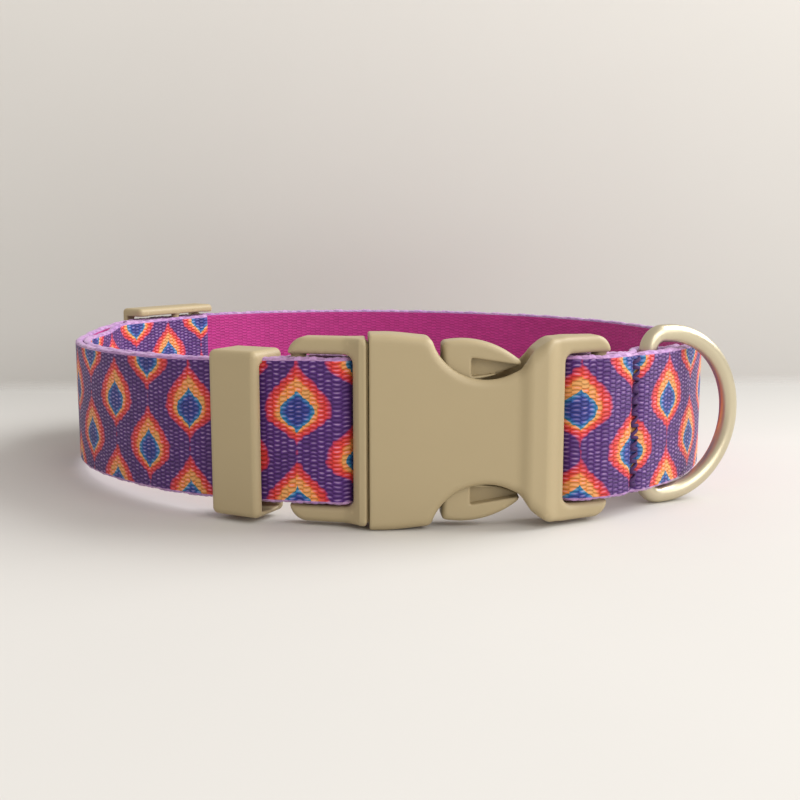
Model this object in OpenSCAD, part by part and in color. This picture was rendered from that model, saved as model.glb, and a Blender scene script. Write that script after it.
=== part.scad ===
// Adjustable flat webbing collar, closed into a ring and lying on its edge.
// Millimetres, +Z up. The buckle faces -Y and lies along X; the ring runs behind it.
// The origin is the centre of the whole collar's footprint, on the surface it rests on.

/* [Webbing] */
// Width of the webbing
web_w = 25; // [24:0.2:25.4]
// Thickness of one layer of webbing
web_t = 1.5; // [1.3:0.1:1.6]
// How much lower the webbing hangs away from the buckle
web_sag = 1.8; // [1.6:0.1:1.8]
// Gap between webbing pieces that move apart
web_gap = 0.3; // [0.2:0.1:0.5]

/* [Ring] */
// Radius of the right side, from the socket to the widest point
right_r = 62; // [60:1:64]
// Radius of the back
back_r = 70; // [68:1:74]
// Radius of the left end
left_r = 56; // [54:1:58]
// Radius of the flank between the plug and the left end
flank_r = 92; // [88:1:96]

/* [Buckle] */
// Height of the socket's mouth
mouth_h = 33; // [32.6:0.2:34]
// Height of the two slotted end frames
frame_h = 31.6; // [31:0.2:32]
// Thickness of the socket, front to back
body_t = 8.6; // [8.2:0.2:9.4]
// Length of the closed sleeve behind the mouth
sleeve_l = 11.7; // [11:0.1:12]
// Length of the socket body, up to where the end frame bends back
body_l = 29; // [28.6:0.2:30]
// Radius of the finger cut-outs
notch_r = 9.6; // [9:0.1:10]
// Thickness of the slotted end frames
frame_t = 4.6; // [4.2:0.2:5]
// Radius of the bars that carry the webbing
bar_r = 1.3; // [1.1:0.1:1.4]
// Backward bend of the socket's end frame, in degrees
socket_tilt = 14.5; // [10:0.5:18]
// Backward bend of the plug's end frame, in degrees
plug_tilt = 16; // [12:0.5:18]

/* [Keeper] */
// Length of the keeper along the webbing
keeper_l = 9.6; // [7:0.2:10]
// Height of the keeper
keeper_h = 29.2; // [29:0.2:30]
// Wall thickness of the keeper
keeper_wall = 1.8; // [1.6:0.1:1.8]
// Clear depth inside the keeper
keeper_gap = 5.2; // [5:0.1:6]

/* [Slider] */
// Length of the three-bar slider along the webbing
slider_l = 24.5; // [22:0.5:25]
// Height of the slider
slider_h = 31; // [30.4:0.2:32]
// Height of each rail of the slider
slider_rail = 2; // [1.6:0.1:2]
// Radius of the slider's centre bar
slider_bar_r = 0.9; // [0.8:0.1:1]

/* [D-ring] */
// Wire diameter of the D-ring
wire_d = 3.2; // [2.8:0.1:3.4]
// Overall height of the D-ring
ring_h = 33; // [32.6:0.2:33.4]
// Straight length between the corner and the round bow
ring_leg = 1.2; // [0.2:0.2:4]
// Angle between the resting D-ring and the webbing, in degrees
ring_rest = 23; // [22:1:60]

/* [Hidden] */
$fn = 64;
eps = 0.01;

plastic = "#b3a67f";
metal = "#d8cfa8";
print_purple = "#6a3590";
inside_magenta = "#b0307a";
thread = "#3a1c55";

// Heights of the middle of the buckle and of the webbing beside and away from it
mid_z = mouth_h / 2;
low_z = mid_z - web_sag;

// Clearances
fold_clear = 0.15;
run_clear = 0.35;
part_clear = 0.3;
// Air between two layers of webbing
layer_gap = 0.1;
// Arcs of a smaller radius than this are folds
small_fold_r = 10;

function unit(a) = [cos(a), sin(a)];
function polar(c, r, a) = c + r * unit(a);
function angle_of(v) = atan2(v[1], v[0]);
// Angle that a length takes up on a circle
function sweep(l, r) = l / r * 180 / PI;

// The two bars that carry the webbing, in plan
mid_y = body_t / 2;
frame_reach = 10.9;
plug_pivot = [-1.2, mid_y];
socket_pivot = [body_l, mid_y];
plug_bar = polar(plug_pivot, frame_reach, 180 - plug_tilt);
socket_bar = polar(socket_pivot, frame_reach, socket_tilt);

// Where the webbing's outer face leaves the bars
over_bar = bar_r + fold_clear + web_t;
plug_leave_a = 246;
socket_leave_a = 301;
plug_leave = polar(plug_bar, over_bar, plug_leave_a);
socket_leave = polar(socket_bar, over_bar, socket_leave_a);

// Centres of the four arcs of the webbing's outer face, each tangent to the next
flank_end_a = 213;
right_c = polar(socket_leave, -right_r, socket_leave_a);
flank_c = polar(plug_leave, -flank_r, plug_leave_a);
left_c = polar(flank_c, flank_r - left_r, flank_end_a);
// Where the sagging webbing takes over from the plug's fold
plug_meet_a = plug_leave_a - sweep(5.2, flank_r);
// Centre at distance r1 from c1 and r2 from c2, on the right-hand side looking from c1 to c2
function meet(c1, r1, c2, r2) =
    let (d = norm(c2 - c1), u = (c2 - c1) / d, a = (r1 * r1 - r2 * r2 + d * d) / (2 * d))
    c1 + a * u - sqrt(r1 * r1 - a * a) * [u[1], -u[0]];
back_c = meet(right_c, back_r - right_r, left_c, back_r - left_r);
right_end_a = angle_of(right_c - back_c);
back_end_a = angle_of(left_c - back_c);
cut_a = 180;

// Shift that puts the origin in the middle of the footprint
min_x = left_c[0] - left_r;
max_x = right_end_a > 0 ? right_c[0] + right_r : back_c[0] + back_r;
max_y = back_c[1] + back_r;
shift = [-(min_x + max_x) / 2, -max_y / 2, 0];

// Positions along the right side, measured from the socket's bar
tack_1_s = 7;
ring_bar_s = 15.5;
tack_2_s = 24;
tail_s = 27;
function right_a(s) = socket_leave_a - 360 + sweep(s, right_r);
wire_r = wire_d / 2;
ring_bar = polar(right_c, right_r - web_t - part_clear - wire_r, right_a(ring_bar_s));
ring_a = right_a(ring_bar_s) + 90 - ring_rest;

// Positions of the keeper and the slider
keeper_a = plug_leave_a - sweep(10.4, flank_r);
slider_a = 141;
slider_travel_a = 8;
slider_bar = polar(left_c, left_r - 2 * web_t - run_clear - layer_gap - slider_bar_r, slider_a);
tail_end_a = cut_a - slider_travel_a - 0.5;

// ---------------------------------------------------------------- helpers

module place() translate(shift) children();

// Band of webbing on a circle, from angle a0 up to a1, its outer face at radius r
module band(c, r, a0, a1, z) {
    translate([c[0], c[1], z - web_w / 2])
        rotate([0, 0, a0])
            rotate_extrude(angle = a1 - a0, $fn = 180)
                translate([r - web_t, 0]) square([web_t, web_w]);
}

// Degrees between the points of an arc: fine for the ring's wide curves, coarse for the small folds
function arc_step(r) = r > small_fold_r ? 1.5 : 12;
// Points of an arc [centre, radius, from, to] moved to the left of its direction by off
function arc_points(a, off) =
    let (turn = sign(a[3] - a[2]), n = max(1, ceil(abs(a[3] - a[2]) / arc_step(a[1]))))
    [for (i = [0:n]) polar(a[0], a[1] - turn * off, a[2] + (a[3] - a[2]) * i / n)];
function side_points(arcs, off) = [for (a = arcs) for (p = arc_points(a, off)) p];
function reversed(v) = [for (i = [len(v) - 1:-1:0]) v[i]];

// Strip of webbing whose middle runs along arcs joined by straight lines
module strip(arcs, z) {
    left_side = side_points(arcs, web_t / 2);
    right_side = side_points(arcs, -web_t / 2);
    translate([0, 0, z - web_w / 2])
        linear_extrude(web_w) polygon(concat(left_side, reversed(right_side)));
}

stitch_w = 2;
stitch_h = web_w - 3;
stitch_t = 0.5;
stitch_clear = 0.03;
// Upright row of stitches on a circle, standing out from radius r
module stitch_row(c, r, a, z) {
    half = sweep(stitch_w / 2, r);
    translate([c[0], c[1], z - stitch_h / 2])
        rotate([0, 0, a - half])
            rotate_extrude(angle = 2 * half, $fn = 180)
                translate([r, 0]) square([stitch_t, stitch_h]);
}

// Rounded rectangle in the XZ plane, extruded along Y from y0 to y1
module plate(x0, x1, z0, z1, y0, y1, r) {
    translate([0, y1, 0]) rotate([90, 0, 0]) linear_extrude(y1 - y0) {
        translate([x0 + r, z0]) square([x1 - x0 - 2 * r, z1 - z0]);
        translate([x0, z0 + r]) square([x1 - x0, z1 - z0 - 2 * r]);
        for (x = [x0 + r, x1 - r], z = [z0 + r, z1 - r]) translate([x, z]) circle(r);
    }
}

// ---------------------------------------------------------------- buckle

cavity_wall = 1.3;
cavity_h = 29.4;
cavity_l = 27.5;
mouth_flat = 4;
notch_x = 19.8;
notch_z = 18.5;
slot_h = web_w + 0.8;
end_corner = 2.6;
// Where each end frame's slot begins, from its pivot
socket_slot = 3.4;
plug_slot = 0.9;
rail_x = 9;
tongue_w = 5;

// Slotted end frame along +X from the pivot, its bar at frame_reach, its slot open from slot_from
module end_frame(slot_from) {
    half = frame_h / 2;
    arm_h = half - slot_h / 2;
    // Square corners where the arms join the buckle
    for (z = [-half, half - arm_h]) translate([0, -frame_t / 2, z]) cube([end_corner, frame_t, arm_h]);
    difference() {
        plate(0, frame_reach + bar_r + 0.2, -half, half, -frame_t / 2, frame_t / 2, end_corner);
        translate([slot_from, -frame_t, -slot_h / 2])
            cube([frame_reach + 4 * bar_r - slot_from, 2 * frame_t, slot_h]);
    }
    translate([frame_reach, 0, -slot_h / 2 - 1]) cylinder(r = bar_r, h = slot_h + 2);
}

// Outline of the socket seen from the front: the sleeve narrows a little behind the mouth
module socket_outline() {
    taper = (mouth_h - frame_h) / 2;
    polygon([[0, -mouth_h / 2], [mouth_flat, -mouth_h / 2], [sleeve_l, taper - mouth_h / 2],
        [body_l + 1.5, taper - mouth_h / 2], [body_l + 1.5, mouth_h / 2 - taper],
        [sleeve_l, mouth_h / 2 - taper], [mouth_flat, mouth_h / 2], [0, mouth_h / 2]]);
}

module socket_shell() {
    color(plastic) place() translate([0, 0, mid_z]) {
        difference() {
            translate([0, body_t, 0]) rotate([90, 0, 0]) linear_extrude(body_t) socket_outline();
            translate([-1, cavity_wall, -cavity_h / 2])
                cube([cavity_l + 1, body_t - 2 * cavity_wall, cavity_h]);
            for (side = [-1, 1])
                translate([notch_x, body_t + 1, side * notch_z]) rotate([90, 0, 0])
                    cylinder(r = notch_r, h = body_t + 2);
        }
        for (side = [-1, 1]) translate([rail_x, cavity_wall - eps, side * (tongue_w / 2 + 0.9) - 0.5])
            cube([cavity_l - rail_x + eps, body_t - 2 * cavity_wall + 2 * eps, 1]);
        translate([socket_pivot[0], socket_pivot[1], 0]) rotate([0, 0, socket_tilt])
            end_frame(socket_slot);
    }
}

module plug_frame() {
    color(plastic) place() translate([0, 0, mid_z]) {
        // Shoulder that closes against the mouth
        plate(-2.05, -0.35, -frame_h / 2, frame_h / 2, 1, body_t - 1, 0.6);
        // Guide tongue between the socket's rails
        translate([-1, 2.6, -tongue_w / 2]) cube([22, body_t - 5.2, tongue_w]);
        translate([plug_pivot[0], plug_pivot[1], 0]) rotate([0, 0, 180 - plug_tilt])
            end_frame(plug_slot);
    }
}

// Upper prong in the XZ plane: a round root, a spring arm and a leaf-shaped finger pad
prong_root = [1.3, 8.9];
prong_root_r = 1.3;
pad_c = [15.5, -0.8];
pad_r = 15.3;
pad_x0 = 11.9;
pad_x1 = 25.4;
prong_clear = 0.3;

module prong_outline() {
    translate(prong_root) circle(prong_root_r);
    translate([prong_root[0], prong_root[1] - prong_root_r]) square([pad_x0, 2 * prong_root_r]);
    difference() {
        intersection() {
            translate(pad_c) circle(pad_r, $fn = 120);
            polygon([[pad_x0, 6.3], [pad_x1, 10.6], [pad_x1, 16], [pad_x0, 16]]);
        }
        polygon([[16.8, 9.6], [16.8, 11.4], [18, 12.3], [23.6, 11.4]]);
    }
}

module prong(side) {
    y0 = cavity_wall + prong_clear;
    y1 = body_t - cavity_wall - prong_clear;
    color(plastic) place() translate([0, y1, mid_z]) rotate([90, 0, 0])
        linear_extrude(y1 - y0) flip(side) prong_outline();
}
// Mirrors the lower one of a pair
module flip(side) {
    if (side > 0) children();
    else mirror([0, 1]) children();
}
module prong_upper() prong(1);
module prong_lower() prong(-1);

// ---------------------------------------------------------------- keeper, slider, D-ring

module keeper_loop() {
    depth = keeper_gap + 2 * keeper_wall;
    front = run_clear + keeper_wall;
    color(plastic) place() translate([flank_c[0], flank_c[1], 0]) rotate([0, 0, keeper_a])
        difference() {
            translate([flank_r + front - depth, -keeper_l / 2, 0]) cube([depth, keeper_l, keeper_h]);
            translate([flank_r + run_clear - keeper_gap, -keeper_l, keeper_wall])
                cube([keeper_gap, 2 * keeper_l, keeper_h - 2 * keeper_wall]);
        }
}

// The slider's end bars lie outside the webbing and its centre bar inside it
slider_end_w = 2.6;
slider_front = 1.3;
// How far the rails reach past the centre bar
rail_lip = 0.2;
module slider_frame() {
    sagitta = pow(slider_l / 2 - slider_end_w, 2) / (2 * left_r);
    bar_in = slider_front + sagitta - run_clear;
    bar_x = norm(slider_bar - left_c) - left_r;
    deep = slider_bar_r + rail_lip - bar_x;
    color(plastic) place() translate([left_c[0], left_c[1], 0]) rotate([0, 0, slider_a])
        translate([left_r, 0, 0]) {
            difference() {
                translate([-deep, -slider_l / 2, 0]) cube([deep + slider_front, slider_l, slider_h]);
                // Window between the end bars
                translate([-deep - 1, slider_end_w - slider_l / 2, slider_rail])
                    cube([deep + slider_front + 2, slider_l - 2 * slider_end_w, slider_h - 2 * slider_rail]);
                // Passage for the webbing behind the end bars
                translate([-deep - 1, -slider_l, slider_rail])
                    cube([deep + 1 + slider_front - bar_in, 2 * slider_l, slider_h - 2 * slider_rail]);
            }
            translate([bar_x, 0, slider_rail / 2])
                cylinder(r = slider_bar_r, h = slider_h - slider_rail);
        }
}

ring_corner_r = 3.2;
module d_ring() {
    rise = ring_h / 2 - wire_r;
    bow_x = ring_corner_r + ring_leg;
    color(metal) place() translate([ring_bar[0], ring_bar[1], mid_z]) rotate([0, 0, ring_a])
        rotate([90, 0, 0]) {
            translate([0, ring_corner_r - rise, 0]) rotate([-90, 0, 0])
                cylinder(r = wire_r, h = 2 * (rise - ring_corner_r));
            for (side = [-1, 1]) {
                translate([ring_corner_r, side * rise, 0]) rotate([0, 90, 0])
                    cylinder(r = wire_r, h = ring_leg);
                translate([ring_corner_r, side * (rise - ring_corner_r), 0])
                    rotate([0, 0, side > 0 ? 90 : 180])
                        rotate_extrude(angle = 90) translate([ring_corner_r, 0]) circle(wire_r);
            }
            translate([bow_x, 0, 0]) rotate([0, 0, -90])
                rotate_extrude(angle = 180) translate([rise, 0]) circle(wire_r);
        }
}

// ---------------------------------------------------------------- webbing at the socket

turn_r = bar_r + fold_clear + web_t / 2;
// How far a fold reaches into its slot, from the bar to the middle of the turn
function turn_reach(slot_from) = frame_reach - slot_from - over_bar - fold_clear;
// Middle of the returned layer where it is sewn against the outer layer
pinch_r = right_r - 1.5 * web_t - layer_gap;
fold_meet_s = 5;

// From the outer layer over the socket's bar, round in the slot and back behind the bar
module web_socket_fold() {
    front_a = socket_tilt + 270;
    turn_c = polar(socket_bar, turn_reach(socket_slot), socket_tilt + 180);
    color(print_purple) place() strip([
        [socket_bar, turn_r, socket_leave_a, front_a],
        [turn_c, turn_r, front_a, front_a - 180],
        [socket_bar, turn_r, front_a - 180, front_a - 190],
        [right_c, pinch_r, right_a(fold_meet_s) - 0.5, right_a(fold_meet_s)]], mid_z);
}

// Outer layer over the D-ring's bar
module web_ring_outer() {
    color(print_purple) place() band(right_c, right_r, right_a(0), right_a(tail_s), mid_z);
}

// Returned layer: sewn, round behind the D-ring's bar, sewn again, and its cut end
module web_ring_inner() {
    inward_a = right_a(ring_bar_s) + 180;
    pocket_r = wire_r + part_clear + web_t / 2;
    color(print_purple) place() strip([
        [right_c, pinch_r, right_a(fold_meet_s), right_a(tack_1_s + 1.5)],
        [ring_bar, pocket_r, inward_a + 24, inward_a - 24],
        [right_c, pinch_r, right_a(tack_2_s - 1.5), right_a(tail_s)]], mid_z);
}

module tack_socket() tack_pair(tack_1_s);
module tack_ring() tack_pair(tack_2_s);
module tack_pair(s) {
    inner = pinch_r - web_t / 2;
    color(thread) place() {
        stitch_row(right_c, right_r + stitch_clear, right_a(s), mid_z);
        stitch_row(right_c, inner - stitch_clear - stitch_t, right_a(s), mid_z);
    }
}

// ---------------------------------------------------------------- webbing round the ring

module web_right() {
    color(inside_magenta) place() band(right_c, right_r, right_a(tail_s), right_end_a, low_z);
}
module web_back() {
    color(inside_magenta) place() band(back_c, back_r, right_end_a, back_end_a, low_z);
}
module web_left() {
    color(print_purple) place()
        band(left_c, left_r, back_end_a, cut_a - sweep(web_gap, left_r), low_z);
}
module web_bend_outer() {
    color(print_purple) place() band(left_c, left_r, cut_a, flank_end_a, low_z);
}
module web_bend_inner() {
    color(print_purple) place()
        band(left_c, left_r - web_t - layer_gap, cut_a, flank_end_a, low_z);
}
module web_flank_outer() {
    color(print_purple) place() band(flank_c, flank_r, flank_end_a, plug_meet_a, low_z);
}
module web_flank_inner() {
    color(print_purple) place()
        band(flank_c, flank_r - web_t - layer_gap, flank_end_a, plug_meet_a, low_z);
}

// ---------------------------------------------------------------- webbing at the plug

module web_plug_fold() {
    front_a = 270 - plug_tilt;
    turn_c = polar(plug_bar, turn_reach(plug_slot), -plug_tilt);
    meet_r = flank_r - 1.5 * web_t - layer_gap;
    color(print_purple) place() strip([
        [flank_c, flank_r - web_t / 2, plug_meet_a, plug_leave_a],
        [plug_bar, turn_r, plug_leave_a, front_a],
        [turn_c, turn_r, front_a, front_a + 180],
        [plug_bar, turn_r, front_a + 180, front_a + 190],
        [flank_c, meet_r, plug_meet_a + 0.5, plug_meet_a]], mid_z);
}

// ---------------------------------------------------------------- webbing at the slider

tail_r = left_r - web_t - run_clear;
fold_r = slider_bar_r + layer_gap + web_t / 2;
module web_slider_tail() {
    color(print_purple) place() band(left_c, tail_r, slider_a, tail_end_a, low_z);
}
sewn_a = slider_a + 12;
module web_slider_fold() {
    sewn_r = tail_r - 1.5 * web_t - layer_gap;
    color(print_purple) place() strip([
        [slider_bar, fold_r, slider_a, slider_a - 180],
        [left_c, sewn_r, sewn_a, sewn_a + 6]], low_z);
}
module tack_slider() {
    inner = tail_r - 2 * web_t - layer_gap;
    color(thread) place()
        stitch_row(left_c, inner - stitch_clear - stitch_t, sewn_a + 3, low_z);
}

// ---------------------------------------------------------------- nodes

socket_shell();
plug_frame();
prong_upper();
prong_lower();
keeper_loop();
slider_frame();
d_ring();
web_socket_fold();
web_ring_outer();
web_ring_inner();
web_right();
web_back();
web_left();
web_plug_fold();
web_flank_outer();
web_flank_inner();
web_bend_outer();
web_bend_inner();
web_slider_tail();
web_slider_fold();
tack_socket();
tack_ring();
tack_slider();
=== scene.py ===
import math

import bpy
import numpy as np
from bpy.props import FloatProperty, FloatVectorProperty, IntProperty, PointerProperty
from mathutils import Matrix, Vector


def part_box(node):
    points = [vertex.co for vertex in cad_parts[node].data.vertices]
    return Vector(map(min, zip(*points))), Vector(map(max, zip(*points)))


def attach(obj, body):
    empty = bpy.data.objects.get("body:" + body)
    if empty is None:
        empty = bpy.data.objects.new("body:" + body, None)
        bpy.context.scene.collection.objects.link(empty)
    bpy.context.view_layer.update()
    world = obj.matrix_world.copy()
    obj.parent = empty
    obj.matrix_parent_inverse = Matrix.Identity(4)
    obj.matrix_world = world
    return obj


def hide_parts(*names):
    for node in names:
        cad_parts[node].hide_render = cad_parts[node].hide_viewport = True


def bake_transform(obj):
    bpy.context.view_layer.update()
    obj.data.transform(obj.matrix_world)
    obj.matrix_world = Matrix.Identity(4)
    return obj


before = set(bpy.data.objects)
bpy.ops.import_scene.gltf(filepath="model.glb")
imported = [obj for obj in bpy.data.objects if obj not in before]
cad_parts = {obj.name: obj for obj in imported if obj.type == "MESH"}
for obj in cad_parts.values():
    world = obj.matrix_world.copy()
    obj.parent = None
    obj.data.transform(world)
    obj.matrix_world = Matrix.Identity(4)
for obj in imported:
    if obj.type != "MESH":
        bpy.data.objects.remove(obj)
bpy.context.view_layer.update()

bl_info = {
    "name": "Webbing Collar",
    "version": (1, 0, 0),
    "blender": (4, 5, 0),
    "location": "View3D > Sidebar > Collar",
    "description": "Builds the webbing, buckle, keeper, slider and D-ring of an adjustable collar",
    "category": "Add Mesh",
}

MM = 0.001

# Every size below is in millimetres, in the buckle's own frame: x runs from the seam between
# the buckle's halves towards the socket, y back from its front face, z up from its middle.
SEAM, SEAM_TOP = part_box("socket_shell")
MID_Z = SEAM_TOP.z / 2 / MM
SHIFT = np.array([SEAM.x / MM, SEAM.y / MM, MID_Z])
GRID, FINE_GRID = 0.27, 0.22            # spacing of the moulded pieces' meshes

# The buckle. An end's slot and bar are measured from the pivot where it leaves the body.
BODY_T = 8.6
MID_Y = BODY_T / 2
MOUTH_HALF, FRAME_HALF, SLOT_HALF = 16.5, 15.8, 12.9
FRAME_REACH, BAR_R = 10.9, 1.3
SOCKET_PIVOT, SOCKET_TILT, SOCKET_SLOT = (29.0, MID_Y), 14.5, 3.4
PLUG_PIVOT, PLUG_TILT, PLUG_SLOT = (-1.2, MID_Y), 16.0, 0.9
NOTCH_X, NOTCH_Z, NOTCH_R = 19.5, 18.5, 9.55
PRONG_ROOT_Z = 8.9                      # how far a prong's root is from the middle

# The webbing, and the arcs in plan that its outer face follows: centre, radius, angles
WEB_T, WEB_HALF = 1.5, 12.5
LAYER_GAP = 0.1
EDGE_ROUND = 0.55                       # how far the rounded edge reaches past the flat
EDGE_LOOP = 1.3                         # length of one loop of the bound edge
TURN_ROOM = 3.1                         # from a slot's end to the middle of the strap's turn
RIGHT_C, RIGHT_R = np.array([9.13981, 57.6449]), 62.0
BACK_C, BACK_R = np.array([1.18156, 56.8286]), 70.0
LEFT_C, LEFT_R = np.array([-5.64999, 69.0487]), 56.0
FLANK_C, FLANK_R = np.array([24.5421, 88.6557]), 92.0
SOCKET_LEAVE_A, PLUG_LEAVE_A = 301.0, 246.0
FLANK_END_A, BACK_END_A, RIGHT_END_A = 213.0, 119.207, 5.856
SOCKET_BAR, PLUG_BAR = np.array([39.5528, 7.02914]), np.array([-11.6778, 7.30445])
RING_BAR, RING_A = np.array([50.8099, 16.4434]), 22.324
RING_HALF, WIRE_R = 16.5, 1.6
SLIDER_A, KEEPER_A = 141.0, 239.523

# Lengths along the strap from where it leaves the socket, and the tacks' shape
TACK_1_S, RING_BAR_S, TACK_2_S, TAIL_S = 7.0, 15.5, 24.0, 27.0
SLIDER_TACK_TURN = 16                   # degrees from the slider to its tack
TACK_MARGIN = 1.6                       # from the webbing's edge to the last stitch
STITCH_HALF, STITCH_LIFT, STITCH_DIVE = 0.95, 0.42, 0.2
THREAD_ACROSS, THREAD_UP = 0.30, 0.34   # half width and half height of one stitch

# The print: (display red, green, blue) bands from a motif's middle outwards
CORE_SHARE = 0.54                       # part of the bands that the blue core takes
PRINT_PERIOD = 22.4                     # length between columns of the same height
PRINT_RISE = 3.3                        # height of a motif's middle over the strap's
DYES = ((0.0, (38, 44, 128)), (0.25, (40, 58, 146)), (0.34, (26, 104, 176)),
        (0.42, (50, 138, 165)), (0.45, (240, 174, 96)), (0.49, (242, 146, 66)),
        (0.53, (238, 100, 46)), (0.575, (228, 64, 40)), (0.71, (218, 46, 48)),
        (0.78, (190, 40, 86)))
GROUND_FROM = 0.825                     # where the bands end and the ground colour starts

# Stage
WALL_Y = 0.10                           # metres from the ring's middle back to the backdrop


# ---------------------------------------------------------------- settings

class CollarSizes(bpy.types.PropertyGroup):
    """Sizes that a user may change"""
    weave_row: FloatProperty(
        name="Row Pitch", description="Height of one row of the weave",
        default=0.76 * MM, min=0.3 * MM, max=2.0 * MM, unit="LENGTH", precision=5)
    weave_float: FloatProperty(
        name="Float Length", description="Length of one float of the weave",
        default=1.3 * MM, min=0.5 * MM, max=4.0 * MM, unit="LENGTH", precision=5)
    print_pitch: FloatProperty(
        name="Print Pitch", description="Height between two motifs of the print",
        default=16.6 * MM, min=8.0 * MM, max=40.0 * MM, unit="LENGTH", precision=4)
    stitch_count: IntProperty(
        name="Stitches", description="Stitches in one bar tack",
        default=22, min=8, max=40)


def colour_setting(name, description, default):
    """A colour that a user may change."""
    return FloatVectorProperty(name=name, description=description, subtype="COLOR", size=3,
                               default=default, min=0.0, max=1.0)


class CollarColours(bpy.types.PropertyGroup):
    """Colours that a user may change"""
    plastic: colour_setting(
        "Moulded Plastic", "Colour of the buckle, keeper and slider", (0.43, 0.345, 0.20))
    metal: colour_setting("D-Ring", "Colour of the D-ring's satin metal", (0.66, 0.59, 0.42))
    ground: colour_setting(
        "Print Ground", "Ground colour of the printed side", (0.075, 0.014, 0.17))
    lining: colour_setting(
        "Plain Side", "Colour of the webbing's unprinted side", (0.46, 0.025, 0.215))
    thread: colour_setting("Thread", "Colour of the sewing thread", (0.035, 0.014, 0.055))
    floor: colour_setting("Floor", "Colour of the floor and backdrop", (0.70, 0.69, 0.665))


# ---------------------------------------------------------------- shader helpers

class Nodes:
    """Adds nodes to one tree and links them as they are made."""

    def __init__(self, tree):
        self.tree = tree
        self.column = 0

    def new(self, kind, **settings):
        """A node of this kind, with these settings."""
        node = self.tree.nodes.new(kind)
        node.location = (self.column * 40, -(self.column % 7) * 120)
        self.column += 1
        for key, value in settings.items():
            setattr(node, key, value)
        return node

    def put(self, value, socket):
        """Links an output to this socket, or sets a plain value on it."""
        if isinstance(value, bpy.types.NodeSocket):
            self.tree.links.new(value, socket)
        elif socket.type == "RGBA" and len(value) == 3:
            socket.default_value = (*value, 1.0)
        else:
            socket.default_value = value

    def math(self, operation, *values, clamp=False):
        """One step of arithmetic on values or outputs."""
        node = self.new("ShaderNodeMath", operation=operation, use_clamp=clamp)
        for value, socket in zip(values, node.inputs):
            self.put(value, socket)
        return node.outputs[0]

    def vector(self, x, y, z=0.0):
        """A vector from three values or outputs."""
        node = self.new("ShaderNodeCombineXYZ")
        for value, socket in zip((x, y, z), node.inputs):
            self.put(value, socket)
        return node.outputs[0]

    def split(self, vector):
        """A vector's three outputs."""
        node = self.new("ShaderNodeSeparateXYZ")
        self.put(vector, node.inputs[0])
        return node.outputs

    def mix(self, factor, a, b, blend="MIX"):
        """A colour between a and b."""
        node = self.new("ShaderNodeMix", data_type="RGBA", blend_type=blend)
        self.put(factor, node.inputs[0])
        self.put(a, node.inputs[6])
        self.put(b, node.inputs[7])
        return node.outputs[2]

    def blend(self, factor, a, b):
        """A number between a and b."""
        node = self.new("ShaderNodeMix", data_type="FLOAT")
        self.put(factor, node.inputs[0])
        self.put(a, node.inputs[2])
        self.put(b, node.inputs[3])
        return node.outputs[0]

    def ramp(self, factor, stops):
        """A colour from (place, colour) stops."""
        node = self.new("ShaderNodeValToRGB")
        self.put(factor, node.inputs[0])
        elements = node.color_ramp.elements
        while len(elements) < len(stops):
            elements.new(0.5)
        for element, (at, colour) in zip(elements, stops):
            element.position = at
            element.color = (*colour, 1.0)
        return node.outputs[0]

    def noise(self, vector, scale, detail=2.0, roughness=0.5):
        """Smooth random values of 0 to 1."""
        node = self.new("ShaderNodeTexNoise")
        self.put(vector, node.inputs["Vector"])
        node.inputs["Scale"].default_value = scale
        node.inputs["Detail"].default_value = detail
        node.inputs["Roughness"].default_value = roughness
        return node.outputs[0]

    def group(self, tree, **values):
        """A node group's outputs, for these inputs."""
        node = self.new("ShaderNodeGroup", node_tree=tree)
        for name, value in values.items():
            self.put(value, node.inputs[name.replace("_", " ")])
        return node.outputs


def scaled(colour, factor):
    """A colour made paler or darker."""
    return tuple(min(1.0, c * factor) for c in colour)


def srgb(r, g, b):
    """Linear colour from display values of 0 to 255."""
    parts = [c / 255 for c in (r, g, b)]
    return tuple(c / 12.92 if c <= 0.04045 else ((c + 0.055) / 1.055) ** 2.4 for c in parts)


def new_group(name, inputs, outputs):
    """An empty shader node group: inputs of (name, kind, default), outputs of (name, kind)."""
    tree = bpy.data.node_groups.new(name, "ShaderNodeTree")
    for label, kind, default in inputs:
        socket = tree.interface.new_socket(name=label, in_out="INPUT", socket_type=kind)
        if default is not None:
            socket.default_value = default
    for label, kind in outputs:
        tree.interface.new_socket(name=label, in_out="OUTPUT", socket_type=kind)
    nodes = Nodes(tree)
    return nodes, nodes.new("NodeGroupInput").outputs, nodes.new("NodeGroupOutput").inputs


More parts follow.
